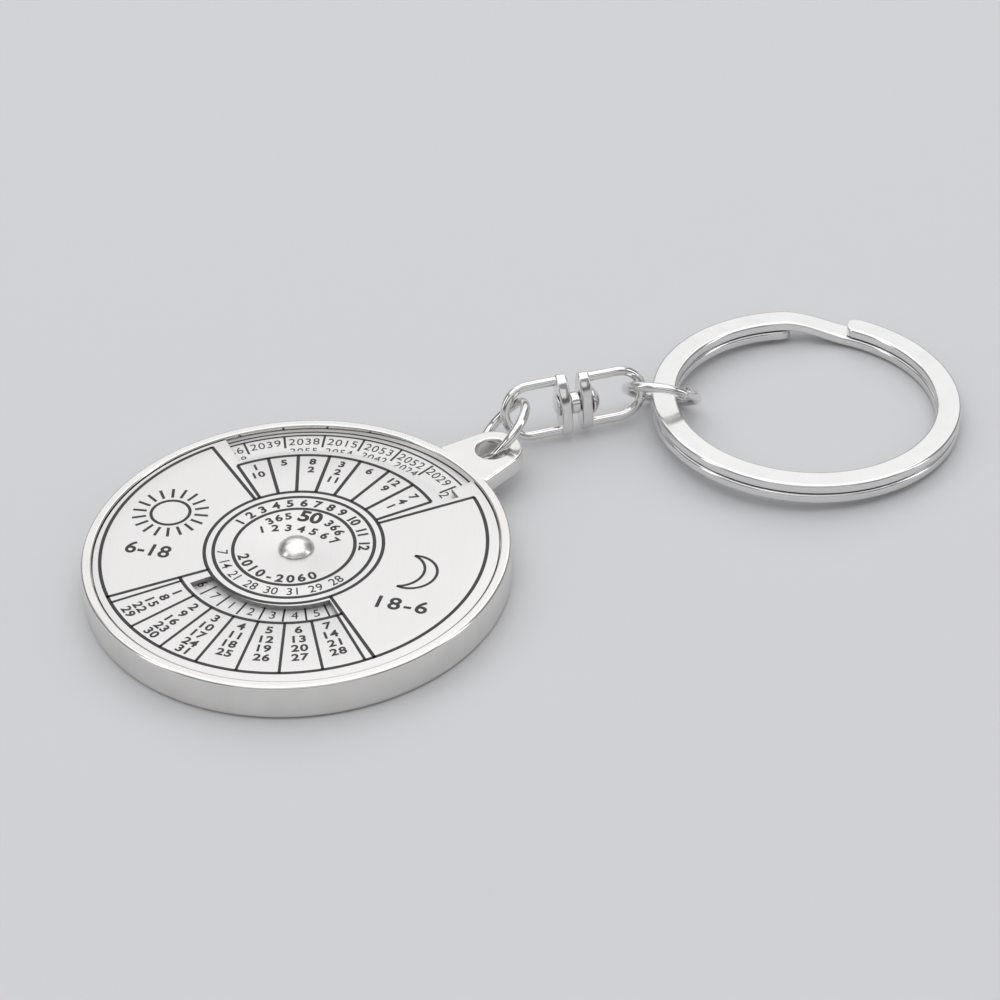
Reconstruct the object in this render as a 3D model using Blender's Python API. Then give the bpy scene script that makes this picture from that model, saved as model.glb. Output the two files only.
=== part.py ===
"""Perpetual calendar keyring, lying on a table.

A shallow round metal case holds two printed discs on a centre rivet, and the upper disc turns.
A lug on the case's rim carries a small wire ring, then a swivel of two wire stirrups riveted
crossbar to crossbar, a second wire ring and a split ring of two turns for the keys.

The origin is the centre of the case's flat back, +Z is up and +X runs to the split ring.
Lengths are in metres. The sizes that can be set by themselves come first.
"""

from math import asin, atan2, ceil, cos, hypot, pi, radians, sin, sqrt

import bmesh
import bpy
from mathutils import Matrix, Vector

# Case: a shallow casting with a rim, and a recess for the two discs.
CASE_RADIUS = 0.0200
CASE_HEIGHT = 0.0037
CASE_RIM_WALL = 0.0010
CASE_FLOOR = 0.0022
CASE_FOOT_ROUND = 0.0005
CASE_RIM_ROUND = 0.0003

# Lug on the rim, with the hole that the first wire ring passes.
LUG_ANGLE = radians(13.15)
LUG_REACH = 0.0032
LUG_END_RADIUS = 0.0029
LUG_HOLE_RADIUS = 0.0016
LUG_ROOT_WIDTH = 0.0070
LUG_THICKNESS = 0.00175
LUG_DROP = 0.00005
LUG_EDGE_ROUND = 0.0002
LUG_ROOT_SINK_SHARE = 0.6

# Discs: the lower one is still, the upper one turns on the rivet.
YEAR_PLATE_THICKNESS = 0.0006
FACE_PLATE_THICKNESS = 0.00045
WASHER_THICKNESS = 0.00015
WASHER_RADIUS = 0.0035
PLATE_SIDE_CLEARANCE = 0.0002
PLATE_REST_CLEARANCE = 0.00005
WASHER_CLEARANCE = 0.000025

# Cut-outs of the upper disc. Angles run anticlockwise from +X.
NOTCH_INNER_RADIUS = 0.0151
NOTCH_START = radians(0.25)
NOTCH_END = radians(88.95)
NOTCH_STEP_SHARE = 0.4054
NOTCH_STEP_ANGLE = radians(5.25)
SLOT_INNER_RADIUS = 0.0084
SLOT_OUTER_RADIUS = 0.0106
SLOT_START = radians(181.25)
SLOT_END = radians(268.75)

# Centre rivet, which is the axle of the upper disc.
RIVET_SHANK_RADIUS = 0.0009
RIVET_HEAD_RADIUS = 0.00165
RIVET_HEAD_HEIGHT = 0.0009
RIVET_HEAD_LIP = 0.00012
RIVET_DEPTH = 0.0014
RIVET_FIT = 0.00005
RIVET_RUNNING_CLEARANCE = 0.0001

# Wire rings.
RING_WIRE_RADIUS = 0.00048
RING_RADIUS = 0.00355
RING_SEAM = 0.00006

# Swivel of two stirrups, each a wire bow on a flattened crossbar.
STIRRUP_WIRE_RADIUS = 0.00047
STIRRUP_WIDTH = 0.00505
STIRRUP_LENGTH = 0.00695
CROSSBAR_DEPTH = 0.0028
CROSSBAR_THICKNESS = 0.0011
CROSSBAR_LIP = 0.00012
CROSSBAR_EDGE_ROUND = 0.00022
SWIVEL_SHANK_RADIUS = 0.0006
SWIVEL_RUNNING_CLEARANCE = 0.0001
SWIVEL_END_CLEARANCE = 0.00008
SWIVEL_HEAD_RADIUS = 0.0014
SWIVEL_HEAD_HEIGHT = 0.0009
SWIVEL_HEAD_LIP = 0.00015
SWIVEL_PEEN_RADIUS = 0.0011
SWIVEL_PEEN_HEIGHT = 0.00035
SWIVEL_WASHER_RADIUS = 0.0011
SWIVEL_WASHER_THICKNESS = 0.00089

# Split ring: flat wire wound in two turns, with a jog where it changes level.
SPLIT_OUTER_RADIUS = 0.0152
SPLIT_WIDTH = 0.0024
SPLIT_THICKNESS = 0.0010
SPLIT_TURN_CLEARANCE = 0.00012
SPLIT_EDGE_ROUND = 0.00028
SPLIT_END_TAPER = 0.0011
SPLIT_TILT = radians(2.6)
SPLIT_START = radians(42.5)
SPLIT_UPPER_SWEEP = radians(331.5)
SPLIT_JOG_SWEEP = radians(29.0)
SPLIT_LOWER_SWEEP = radians(335.0)

# How the links lie. Places are shares of the wire ring's radius.
FIRST_RING_PLACE_SHARES = (0.6273, 0.7569, 0.1065)
FIRST_RING_NORMAL = (-0.6258, 0.4056, 0.6663)
FIRST_RING_SEAM_ANGLE = radians(240.0)
FIRST_RING_HINGE_ANGLE = radians(148.0)
BOW_PLACE_SHARES = (0.2163, 0.5183, 0.1096)
SWIVEL_AXIS = (0.98736, -0.15848, -0.00046)
FIRST_STIRRUP_LEAN = radians(19.8)
SECOND_STIRRUP_LEAN = radians(7.4)
SECOND_RING_PLACE_SHARES = (0.3524, -0.2368, -0.1547)
SECOND_RING_NORMAL = (0.4497, 0.5391, 0.7121)
SECOND_RING_SEAM_ANGLE = radians(140.0)
SECOND_RING_HINGE_ANGLE = radians(36.0)
SPLIT_PLACE_ANGLE = radians(-27.816)
SPLIT_PLACE_SHARE = 1.0095

# Working values.
CUT_OVERRUN = 0.0005
MERGE_DISTANCE = 0.000001
SMOOTH_ANGLE = radians(35.0)
CASE_STEPS = 96
LUG_STEPS = 48
HOLE_STEPS = 32
RING_STEPS = 44
WIRE_SIDES = 12
BOW_STEPS = 18
OVAL_STEPS = 36
ROUND_STEPS = 2
SPLIT_STEP_ANGLE = radians(6.0)

# Worked out from the sizes above.
CASE_RECESS_RADIUS = CASE_RADIUS - CASE_RIM_WALL
YEAR_PLATE_BOTTOM = CASE_FLOOR + PLATE_REST_CLEARANCE
YEAR_PLATE_TOP = YEAR_PLATE_BOTTOM + YEAR_PLATE_THICKNESS
WASHER_BOTTOM = YEAR_PLATE_TOP + WASHER_CLEARANCE
WASHER_TOP = WASHER_BOTTOM + WASHER_THICKNESS
FACE_PLATE_BOTTOM = WASHER_TOP + WASHER_CLEARANCE
FACE_PLATE_TOP = FACE_PLATE_BOTTOM + FACE_PLATE_THICKNESS
PLATE_RADIUS = CASE_RECESS_RADIUS - PLATE_SIDE_CLEARANCE
NOTCH_STEP_RADIUS = NOTCH_INNER_RADIUS + (PLATE_RADIUS - NOTCH_INNER_RADIUS) * NOTCH_STEP_SHARE
AXLE_HOLE_RADIUS = RIVET_SHANK_RADIUS + RIVET_RUNNING_CLEARANCE
LUG_TOP = CASE_HEIGHT - LUG_DROP
LUG_BOTTOM = LUG_TOP - LUG_THICKNESS
LUG_CENTRE_RADIUS = CASE_RADIUS + LUG_REACH
SWIVEL_GAP = SWIVEL_WASHER_THICKNESS + SWIVEL_END_CLEARANCE + SWIVEL_END_CLEARANCE
SWIVEL_HOLE_RADIUS = SWIVEL_SHANK_RADIUS + SWIVEL_RUNNING_CLEARANCE
SPLIT_MID_RADIUS = SPLIT_OUTER_RADIUS - SPLIT_WIDTH / 2
SPLIT_TURN_RISE = SPLIT_THICKNESS + SPLIT_TURN_CLEARANCE


def clear_scene():
    """Remove what the file opened with."""
    for old in list(bpy.data.objects):
        bpy.data.objects.remove(old)


def make_material(name, colour, metallic, roughness):
    """A plain Principled material."""
    made = bpy.data.materials.new(name)
    made.use_nodes = True
    shader = made.node_tree.nodes["Principled BSDF"]
    shader.inputs["Base Color"].default_value = (*colour, 1.0)
    shader.inputs["Metallic"].default_value = metallic
    shader.inputs["Roughness"].default_value = roughness
    return made


def make_object(name, bm, made_material=None):
    """Turn a bmesh into a named object with outward faces and smooth rounds."""
    bmesh.ops.remove_doubles(bm, verts=bm.verts, dist=MERGE_DISTANCE)
    bmesh.ops.recalc_face_normals(bm, faces=bm.faces)
    mesh = bpy.data.meshes.new(name)
    bm.to_mesh(mesh)
    bm.free()
    if made_material:
        mesh.materials.append(made_material)
    made = bpy.data.objects.new(name, mesh)
    bpy.context.collection.objects.link(made)
    return made


def smooth(piece):
    """Shade the rounds smooth and keep the real edges sharp."""
    piece.data.shade_smooth()
    piece.data.set_sharp_from_angle(angle=SMOOTH_ANGLE)


def combine(piece, tool, operation):
    """Join or cut the piece with the tool, and remove the tool."""
    change = piece.modifiers.new("combine", "BOOLEAN")
    change.solver = "EXACT"
    change.operation = operation
    change.object = tool
    bpy.context.view_layer.update()
    graph = bpy.context.evaluated_depsgraph_get()
    result = bpy.data.meshes.new_from_object(piece.evaluated_get(graph))
    piece.modifiers.remove(change)
    piece.data = result
    bpy.data.objects.remove(tool)


def place(piece, world, parent=None):
    """Set the world place of a piece, and its parent if it has one."""
    piece.matrix_basis = world
    if parent:
        piece.parent = parent
        piece.matrix_parent_inverse = parent.matrix_basis.inverted()


def pivot(name, world, parent=None):
    """An empty on a joint's axis, with its Z along the axis."""
    made = bpy.data.objects.new(name, None)
    made.empty_display_size = RING_RADIUS
    bpy.context.collection.objects.link(made)
    place(made, world, parent)
    return made


def frame_at(centre, z_axis, x_hint):
    """A frame with its Z along z_axis and its X as near to x_hint as it can be."""
    z = Vector(z_axis).normalized()
    x = Vector(x_hint)
    x = (x - z * x.dot(z)).normalized()
    y = z.cross(x)
    turned = Matrix((x, y, z)).transposed().to_4x4()
    return Matrix.Translation(Vector(centre)) @ turned


def skin(rings, closed):
    """Join rings of points into one closed surface, a loop or a run with flat ends."""
    bm = bmesh.new()
    rows = [[bm.verts.new(point) for point in ring] for ring in rings]
    sides = len(rows[0])
    pairs = list(zip(rows, rows[1:]))
    if closed:
        pairs.append((rows[-1], rows[0]))
    for low, high in pairs:
        for i in range(sides):
            j = (i + 1) % sides
            bm.faces.new((low[i], low[j], high[j], high[i]))
    if not closed:
        bm.faces.new(rows[0][::-1])
        bm.faces.new(rows[-1])
    return bm


def circle(radius, height, steps):
    """A flat ring of points round Z."""
    turns = [2 * pi * i / steps for i in range(steps)]
    return [Vector((radius * cos(a), radius * sin(a), height)) for a in turns]


def turned(profile, steps, closed=False):
    """A solid of revolution about Z from (radius, height) points."""
    return skin([circle(radius, height, steps) for radius, height in profile], closed)


def corner(radius, height, size, start, steps=ROUND_STEPS):
    """Points of a quarter round of a profile, anticlockwise from the start angle."""
    angles = [start + (pi / 2) * i / steps for i in range(steps + 1)]
    return [(radius + size * cos(a), height + size * sin(a)) for a in angles]


def rounded_section(inner, outer, bottom, top, size):
    """A rectangle with four round corners, as (radius, height) points, anticlockwise."""
    points = corner(outer - size, bottom + size, size, -pi / 2)
    points += corner(outer - size, top - size, size, 0)
    points += corner(inner + size, top - size, size, pi / 2)
    points += corner(inner + size, bottom + size, size, pi)
    return points


def dome(radius, base, height, steps=6):
    """Profile points of a spherical cap, from its edge up to a small flat at the top."""
    sphere = (radius * radius + height * height) / (2 * height)
    widest = asin(min(1.0, radius / sphere))
    points = []
    for i in range(steps):
        angle = widest * (1 - i / steps)
        points.append((sphere * sin(angle), base + height - sphere * (1 - cos(angle))))
    return points


def case_body():
    """The turned cup: floor, rim and the blind hole of the rivet."""
    hole = RIVET_SHANK_RADIUS + RIVET_FIT
    hole_floor = CASE_FLOOR - RIVET_DEPTH - RIVET_FIT
    profile = [(CASE_RADIUS - CASE_FOOT_ROUND, 0)]
    profile += corner(CASE_RADIUS - CASE_FOOT_ROUND, CASE_FOOT_ROUND, CASE_FOOT_ROUND, -pi / 2)[1:]
    profile += corner(CASE_RADIUS - CASE_RIM_ROUND, CASE_HEIGHT - CASE_RIM_ROUND, CASE_RIM_ROUND, 0)
    inner = CASE_RECESS_RADIUS + CASE_RIM_ROUND
    profile += corner(inner, CASE_HEIGHT - CASE_RIM_ROUND, CASE_RIM_ROUND, pi / 2)
    profile += [(CASE_RECESS_RADIUS, CASE_FLOOR), (hole, CASE_FLOOR), (hole, hole_floor)]
    return turned(profile, CASE_STEPS)


def lug_outline(angle):
    """Distance from the hole's centre to the lug's edge, at an angle from its outward axis."""
    half_root = LUG_ROOT_WIDTH / 2
    span = hypot(LUG_REACH, half_root)
    side_angle = atan2(LUG_REACH, half_root) + asin(min(1.0, LUG_END_RADIUS / span))
    turn = abs(angle)
    if turn <= side_angle:
        return LUG_END_RADIUS
    side = LUG_END_RADIUS / max(cos(turn - side_angle), MERGE_DISTANCE)
    back = (LUG_REACH + CASE_RIM_WALL * LUG_ROOT_SINK_SHARE) / max(-cos(turn), MERGE_DISTANCE)
    return min(side, back)


def lug_body():
    """The lug: a flat eye with round edges, lofted round its hole."""
    rings = []
    for i in range(LUG_STEPS):
        angle = -pi + 2 * pi * (i + 1) / LUG_STEPS
        section = rounded_section(
            LUG_HOLE_RADIUS, lug_outline(angle), LUG_BOTTOM, LUG_TOP, LUG_EDGE_ROUND
        )
        rings.append([Vector((r * cos(angle), r * sin(angle), z)) for r, z in section])
    return skin(rings, closed=True)


def build_case(look):
    """The case with its lug, as one casting."""
    case = make_object("case", case_body(), look)
    lug = make_object("lug_blank", lug_body(), look)
    place(lug, Matrix.Rotation(LUG_ANGLE, 4, "Z") @ Matrix.Translation((LUG_CENTRE_RADIUS, 0, 0)))
    combine(case, lug, "UNION")
    smooth(case)
    return case


def washer(name, look, inner, outer, bottom, top, steps):
    """A flat turned ring about Z."""
    profile = [(inner, bottom), (outer, bottom), (outer, top), (inner, top)]
    piece = make_object(name, turned(profile, steps, closed=True), look)
    smooth(piece)
    return piece


def sector_cutter(inner, outer, start, end, bottom, top):
    """A block between two radii and two angles, for the cut-outs of the upper disc."""
    steps = max(2, ceil((end - start) / (2 * pi / CASE_STEPS)))
    angles = [start + (end - start) * i / steps for i in range(steps + 1)]
    rings = []
    for a in angles:
        corners = ((inner, bottom), (outer, bottom), (outer, top), (inner, top))
        rings.append([Vector((r * cos(a), r * sin(a), z)) for r, z in corners])
    cutter = make_object("cutter", skin(rings, closed=False))
    cutter.hide_render = True
    cutter.display_type = "WIRE"
    return cutter


def build_face_plate(look):
    """The upper disc, with the stepped notch for the years and the slot for the weekdays."""
    plate = washer(
        "face_plate", look, AXLE_HOLE_RADIUS, PLATE_RADIUS, FACE_PLATE_BOTTOM, FACE_PLATE_TOP, CASE_STEPS
    )
    low = FACE_PLATE_BOTTOM - CUT_OVERRUN
    high = FACE_PLATE_TOP + CUT_OVERRUN
    far = PLATE_RADIUS + CUT_OVERRUN
    cuts = (
        (NOTCH_INNER_RADIUS, far, NOTCH_STEP_ANGLE, NOTCH_END),
        (NOTCH_INNER_RADIUS, NOTCH_STEP_RADIUS, NOTCH_START, NOTCH_END),
        (SLOT_INNER_RADIUS, SLOT_OUTER_RADIUS, SLOT_START, SLOT_END),
    )
    for inner, outer, start, end in cuts:
        combine(plate, sector_cutter(inner, outer, start, end, low, high), "DIFFERENCE")
    smooth(plate)
    return plate


def build_centre_rivet(look):
    """The domed rivet: a shank in the case's floor and a head above the upper disc."""
    foot = CASE_FLOOR - RIVET_DEPTH
    head = FACE_PLATE_TOP + PLATE_REST_CLEARANCE
    profile = [(RIVET_SHANK_RADIUS, foot), (RIVET_SHANK_RADIUS, head), (RIVET_HEAD_RADIUS, head)]
    profile += dome(RIVET_HEAD_RADIUS, head + RIVET_HEAD_LIP, RIVET_HEAD_HEIGHT - RIVET_HEAD_LIP)
    rivet = make_object("centre_rivet", turned(profile, HOLE_STEPS), look)
    smooth(rivet)
    return rivet


def wire_ring(name, look, seam_angle):
    """A round wire ring about Z with its ends butted at the seam."""
    half_seam = RING_SEAM / (2 * RING_RADIUS)
    sweep = 2 * pi - 2 * half_seam
    rings = []
    for i in range(RING_STEPS + 1):
        angle = seam_angle + half_seam + sweep * i / RING_STEPS
        out = Vector((cos(angle), sin(angle), 0))
        rings.append(wire_section(out * RING_RADIUS, out, RING_WIRE_RADIUS))
    piece = make_object(name, skin(rings, closed=False), look)
    smooth(piece)
    return piece


def wire_section(centre, out, radius, along_y=False):
    """A circle of points round a wire, between its outward direction and a second one."""
    across = Vector((0, 1, 0)) if along_y else Vector((0, 0, 1))
    turns = [2 * pi * i / WIRE_SIDES for i in range(WIRE_SIDES)]
    return [centre + out * (radius * cos(a)) + across * (radius * sin(a)) for a in turns]


def bow_body():
    """The stirrup's wire in its XZ plane: up one leg, round the end and back."""
    half = STIRRUP_WIDTH / 2
    centre = STIRRUP_WIRE_RADIUS + half
    leg_end = STIRRUP_LENGTH - CROSSBAR_THICKNESS / 2
    low = Vector((0, 0, -1))
    rings = [wire_section(Vector((leg_end, 0, -half)), low, STIRRUP_WIRE_RADIUS, True)]
    for i in range(BOW_STEPS + 1):
        angle = -pi / 2 - pi * i / BOW_STEPS
        out = Vector((cos(angle), 0, sin(angle)))
        rings.append(wire_section(Vector((centre, 0, 0)) + out * half, out, STIRRUP_WIRE_RADIUS, True))
    rings.append(wire_section(Vector((leg_end, 0, half)), -low, STIRRUP_WIRE_RADIUS, True))
    return skin(rings, closed=False)


def crossbar_body():
    """The flattened oval crossbar, with its edges rounded and its faces square to X."""
    half_height = STIRRUP_WIDTH / 2 + STIRRUP_WIRE_RADIUS + CROSSBAR_LIP
    half_depth = CROSSBAR_DEPTH / 2
    edge = CROSSBAR_EDGE_ROUND
    inner = STIRRUP_LENGTH - CROSSBAR_THICKNESS
    levels = corner(-edge, inner + edge, edge, -pi / 2)
    levels += corner(-edge, STIRRUP_LENGTH - edge, edge, 0)
    turns = [2 * pi * i / OVAL_STEPS for i in range(OVAL_STEPS)]
    rings = []
    for grow, x in levels:
        depth = half_depth + grow
        height = half_height + grow
        rings.append([Vector((x, depth * cos(a), height * sin(a))) for a in turns])
    return skin(rings, closed=False)


def build_stirrup(name, look):
    """One half of the swivel: the bow, its crossbar and the hole for the swivel rivet."""
    stirrup = make_object(name, bow_body(), look)
    combine(stirrup, make_object("crossbar", crossbar_body(), look), "UNION")
    start = STIRRUP_LENGTH - CROSSBAR_THICKNESS - CUT_OVERRUN
    end = STIRRUP_LENGTH + CUT_OVERRUN
    drill = make_object("drill", along_x([(SWIVEL_HOLE_RADIUS, start), (SWIVEL_HOLE_RADIUS, end)]))
    combine(stirrup, drill, "DIFFERENCE")
    smooth(stirrup)
    return stirrup


def along_x(profile, closed=False):
    """A solid of revolution about X from (radius, place) points."""
    rings = []
    for radius, x in profile:
        rings.append([Vector((x, p.x, p.y)) for p in circle(radius, 0, HOLE_STEPS)])
    return skin(rings, closed)


def build_swivel_rivet(look):
    """The pin through both crossbars, peened inside the first and domed inside the second."""
    first_inner = STIRRUP_LENGTH - CROSSBAR_THICKNESS
    second_inner = STIRRUP_LENGTH + SWIVEL_GAP + CROSSBAR_THICKNESS
    peen = first_inner - SWIVEL_END_CLEARANCE
    head = second_inner + SWIVEL_END_CLEARANCE
    low = dome(SWIVEL_PEEN_RADIUS, 0, SWIVEL_PEEN_HEIGHT)
    profile = [(radius, peen - rise) for radius, rise in low[::-1]]
    profile += [(SWIVEL_SHANK_RADIUS, peen), (SWIVEL_SHANK_RADIUS, head), (SWIVEL_HEAD_RADIUS, head)]
    profile += dome(SWIVEL_HEAD_RADIUS, head + SWIVEL_HEAD_LIP, SWIVEL_HEAD_HEIGHT - SWIVEL_HEAD_LIP)
    rivet = make_object("swivel_rivet", along_x(profile), look)
    smooth(rivet)
    return rivet


def build_swivel_washer(look):
    """The thin washer on the pin between the crossbars."""
    start = STIRRUP_LENGTH + SWIVEL_END_CLEARANCE
    end = start + SWIVEL_WASHER_THICKNESS
    hole = SWIVEL_HOLE_RADIUS
    profile = [(hole, start), (SWIVEL_WASHER_RADIUS, start), (SWIVEL_WASHER_RADIUS, end), (hole, end)]
    piece = make_object("swivel_washer", along_x(profile, closed=True), look)
    smooth(piece)
    return piece


def split_level(travel):
    """Height of the wire's underside after a travel from its upper end, as a share of one turn's rise."""
    if travel <= SPLIT_UPPER_SWEEP:
        return 1.0
    share = min(1.0, (travel - SPLIT_UPPER_SWEEP) / SPLIT_JOG_SWEEP)
    return 1.0 - share * share * (3 - 2 * share)


def build_split_ring(look):
    """Flat wire wound clockwise from its upper end, down a jog and on under itself."""
    total = SPLIT_UPPER_SWEEP + SPLIT_JOG_SWEEP + SPLIT_LOWER_SWEEP
    taper = SPLIT_END_TAPER / SPLIT_MID_RADIUS
    ends = [taper * share for share in (0.0, 0.1, 0.3, 0.6)]
    count = ceil((total - taper - taper) / SPLIT_STEP_ANGLE)
    travels = list(ends)
    travels += [taper + (total - taper - taper) * i / count for i in range(count + 1)]
    travels += [total - travel for travel in ends[::-1]]
    least_half = SPLIT_EDGE_ROUND + CUT_OVERRUN / 2
    full_half = SPLIT_WIDTH / 2
    rings = []
    for travel in travels:
        near_end = min(1.0, min(travel, total - travel) / taper)
        half = least_half + (full_half - least_half) * sqrt(max(0.0, 1 - (1 - near_end) ** 2))
        bottom = split_level(travel) * SPLIT_TURN_RISE
        section = rounded_section(
            SPLIT_MID_RADIUS - half, SPLIT_MID_RADIUS + half, bottom, bottom + SPLIT_THICKNESS, SPLIT_EDGE_ROUND
        )
        angle = SPLIT_START - travel
        rings.append([Vector((r * cos(angle), r * sin(angle), z)) for r, z in section])
    piece = make_object("split_ring", skin(rings, closed=False), look)
    smooth(piece)
    return piece


def lug_hole_centre():
    """The middle of the lug's hole."""
    middle = (LUG_BOTTOM + LUG_TOP) / 2
    return Vector((LUG_CENTRE_RADIUS * cos(LUG_ANGLE), LUG_CENTRE_RADIUS * sin(LUG_ANGLE), middle))


def ring_frame(centre, normal):
    """The frame of a wire ring, with its X level."""
    level = Vector((0, 0, 1)).cross(Vector(normal))
    return frame_at(centre, normal, level)


def hinge_frame(ring_world, angle):
    """A frame on a wire ring's centre line, with its Z along the wire."""
    out = Vector((cos(angle), sin(angle), 0))
    along = Vector((-sin(angle), cos(angle), 0))
    turn = ring_world.to_3x3()
    return frame_at(ring_world @ (out * RING_RADIUS), turn @ along, turn @ out)


def stirrup_frame(end, axis, lean):
    """A stirrup's frame: X from its outer end to its crossbar, Z up its width, leaning to +Y."""
    along = Vector(axis).normalized()
    level = Vector((-along.y, along.x, 0)).normalized()
    if level.y < 0:
        level = -level
    up = Vector((0, 0, cos(lean))) + level * sin(lean)
    z = (up - along * up.dot(along)).normalized()
    return frame_at(end, z, along)


def link_frames():
    """Where each link of the chain lies, one from the other."""
    hole = lug_hole_centre()
    first_centre = hole + Vector(FIRST_RING_PLACE_SHARES) * RING_RADIUS
    first_ring = ring_frame(first_centre, FIRST_RING_NORMAL)
    axis = Vector(SWIVEL_AXIS).normalized()
    first_end = first_centre + Vector(BOW_PLACE_SHARES) * RING_RADIUS
    second_end = first_end + axis * (STIRRUP_LENGTH + SWIVEL_GAP + STIRRUP_LENGTH)
    second_centre = second_end + Vector(SECOND_RING_PLACE_SHARES) * RING_RADIUS
    second_ring = ring_frame(second_centre, SECOND_RING_NORMAL)
    reach = SPLIT_MID_RADIUS * SPLIT_PLACE_SHARE
    split_centre = Vector((
        second_centre.x + reach * cos(SPLIT_PLACE_ANGLE),
        second_centre.y + reach * sin(SPLIT_PLACE_ANGLE),
        SPLIT_OUTER_RADIUS * sin(SPLIT_TILT),
    ))
    return {
        "lug_pivot": Matrix.Translation(hole),
        "first_ring": first_ring,
        "first_hinge": hinge_frame(first_ring, FIRST_RING_HINGE_ANGLE),
        "first_stirrup": stirrup_frame(first_end, axis, FIRST_STIRRUP_LEAN),
        "second_stirrup": stirrup_frame(second_end, -axis, SECOND_STIRRUP_LEAN),
        "second_ring": second_ring,
        "second_hinge": hinge_frame(second_ring, SECOND_RING_HINGE_ANGLE),
        "split_ring": Matrix.Translation(split_centre) @ Matrix.Rotation(SPLIT_TILT, 4, "Y"),
    }


def build_dial(case, steel, print_white, satin):
    """The still lower disc, the washer, the turning upper disc and the rivet, in the case."""
    year_plate = washer(
        "year_plate", print_white, AXLE_HOLE_RADIUS, PLATE_RADIUS, YEAR_PLATE_BOTTOM, YEAR_PLATE_TOP, CASE_STEPS
    )
    friction = washer(
        "friction_washer", steel, AXLE_HOLE_RADIUS, WASHER_RADIUS, WASHER_BOTTOM, WASHER_TOP, HOLE_STEPS
    )
    face_plate = build_face_plate(satin)
    rivet = build_centre_rivet(steel)
    for piece in (year_plate, friction, face_plate, rivet):
        place(piece, Matrix.Identity(4), case)


def build_links(case, steel):
    """The chain from the lug to the split ring."""
    frames = link_frames()
    lug_pivot = pivot("lug_pivot", frames["lug_pivot"], case)
    first_ring = wire_ring("lug_jump_ring", steel, FIRST_RING_SEAM_ANGLE)
    place(first_ring, frames["first_ring"], lug_pivot)
    first_hinge = pivot("first_hinge", frames["first_hinge"], lug_pivot)
    for piece in (build_stirrup("lug_stirrup", steel), build_swivel_washer(steel), build_swivel_rivet(steel)):
        place(piece, frames["first_stirrup"], first_hinge)
    second_stirrup = build_stirrup("ring_stirrup", steel)
    place(second_stirrup, frames["second_stirrup"], first_hinge)
    second_hinge = pivot("second_hinge", frames["second_hinge"], second_stirrup)
    second_ring = wire_ring("split_jump_ring", steel, SECOND_RING_SEAM_ANGLE)
    place(second_ring, frames["second_ring"], second_hinge)
    split_ring = build_split_ring(steel)
    place(split_ring, frames["split_ring"], second_hinge)


def main():
    """Build every piece."""
    clear_scene()
    polished = make_material("polished_nickel", (0.78, 0.77, 0.74), 1.0, 0.16)
    steel = make_material("bright_steel", (0.70, 0.70, 0.69), 1.0, 0.14)
    satin = make_material("satin_plate", (0.80, 0.79, 0.77), 0.8, 0.38)
    print_white = make_material("year_plate_white", (0.86, 0.86, 0.84), 0.2, 0.45)
    case = build_case(polished)
    build_dial(case, steel, print_white, satin)
    build_links(case, steel)
    bpy.context.view_layer.update()


main()
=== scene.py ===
"""Perpetual calendar keyring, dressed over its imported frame.

Lengths are written in millimetres and multiplied by MM. Angles on the dial are degrees,
anticlockwise from +X. Every finished piece lies at the origin with its place in its mesh.
"""

from math import asin, atan2, cos, degrees, hypot, pi, radians, sin, sqrt

import bmesh
import bpy
from mathutils import Matrix, Vector


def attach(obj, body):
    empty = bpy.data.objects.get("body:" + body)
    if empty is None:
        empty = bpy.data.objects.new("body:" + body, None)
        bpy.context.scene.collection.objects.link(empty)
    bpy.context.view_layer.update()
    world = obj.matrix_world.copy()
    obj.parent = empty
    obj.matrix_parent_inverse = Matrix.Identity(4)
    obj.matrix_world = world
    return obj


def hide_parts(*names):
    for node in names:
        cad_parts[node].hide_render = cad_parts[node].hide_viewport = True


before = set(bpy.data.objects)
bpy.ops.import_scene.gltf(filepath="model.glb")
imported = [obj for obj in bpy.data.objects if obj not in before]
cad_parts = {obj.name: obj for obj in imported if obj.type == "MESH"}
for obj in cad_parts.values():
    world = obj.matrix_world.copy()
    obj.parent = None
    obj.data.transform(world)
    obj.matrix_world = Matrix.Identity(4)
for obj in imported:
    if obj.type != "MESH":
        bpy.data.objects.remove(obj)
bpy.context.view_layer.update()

MM = 0.001
X, Z = Vector((1, 0, 0)), Vector((0, 0, 1))

# The photograph's view: its bearing, by which the print and the lamps are turned too, its tilt
# and roll, its place, and the focal length that was fitted in pixels of its width.
PHOTO_TURN, PHOTO_TILT, PHOTO_ROLL = -23.75, 52.37, -2.36
PHOTO_PLACE = (19.08, -231.54, 186.65)
PHOTO_FOCAL, PHOTO_WIDTH = 3181.5, 1000

# How far beside a round a point holds the flat next to it, and the least angle of a sharp edge
# in radians.
HOLD, SHARP = 0.03, 1.2

# Case and lug.
CASE_RADIUS, CASE_TOP = 20.0, 3.7
RECESS_RADIUS, FLOOR_TOP = 19.0, 2.2
FOOT_ROUND, RIM_ROUND, LIP_ROUND = 0.5, 0.3, 0.18
LUG_ANGLE, LUG_RADIUS = 13.15, 23.2
LUG_END, LUG_HOLE, LUG_ROOT, LUG_SINK = 2.9, 1.6, 7.0, 0.6
LUG_BOTTOM, LUG_TOP, LUG_SOFT = 1.9, 3.698, 0.2

# Discs.
AXLE_HOLE, PLATE_RADIUS, BAND_STEP = 1.0, 18.88, 2
FACE_BOTTOM, FACE_TOP, CUT_SOFT = 3.05, 3.5, 0.05
YEAR_RADIUS, YEAR_THICKNESS, YEAR_TOP = 18.93, 0.6, 2.85
YEAR_ROUND, YEAR_HOLD = 0.06, 0.1
SLOT_INNER, SLOT_OUTER = 8.4, 10.6
SLOT_START, SLOT_END = 181.25, 268.75
NOTCH_INNER, NOTCH_STEP = 15.1, 16.6
NOTCH_START, NOTCH_STEP_END, NOTCH_END = 0.25, 5.25, 88.95

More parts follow.
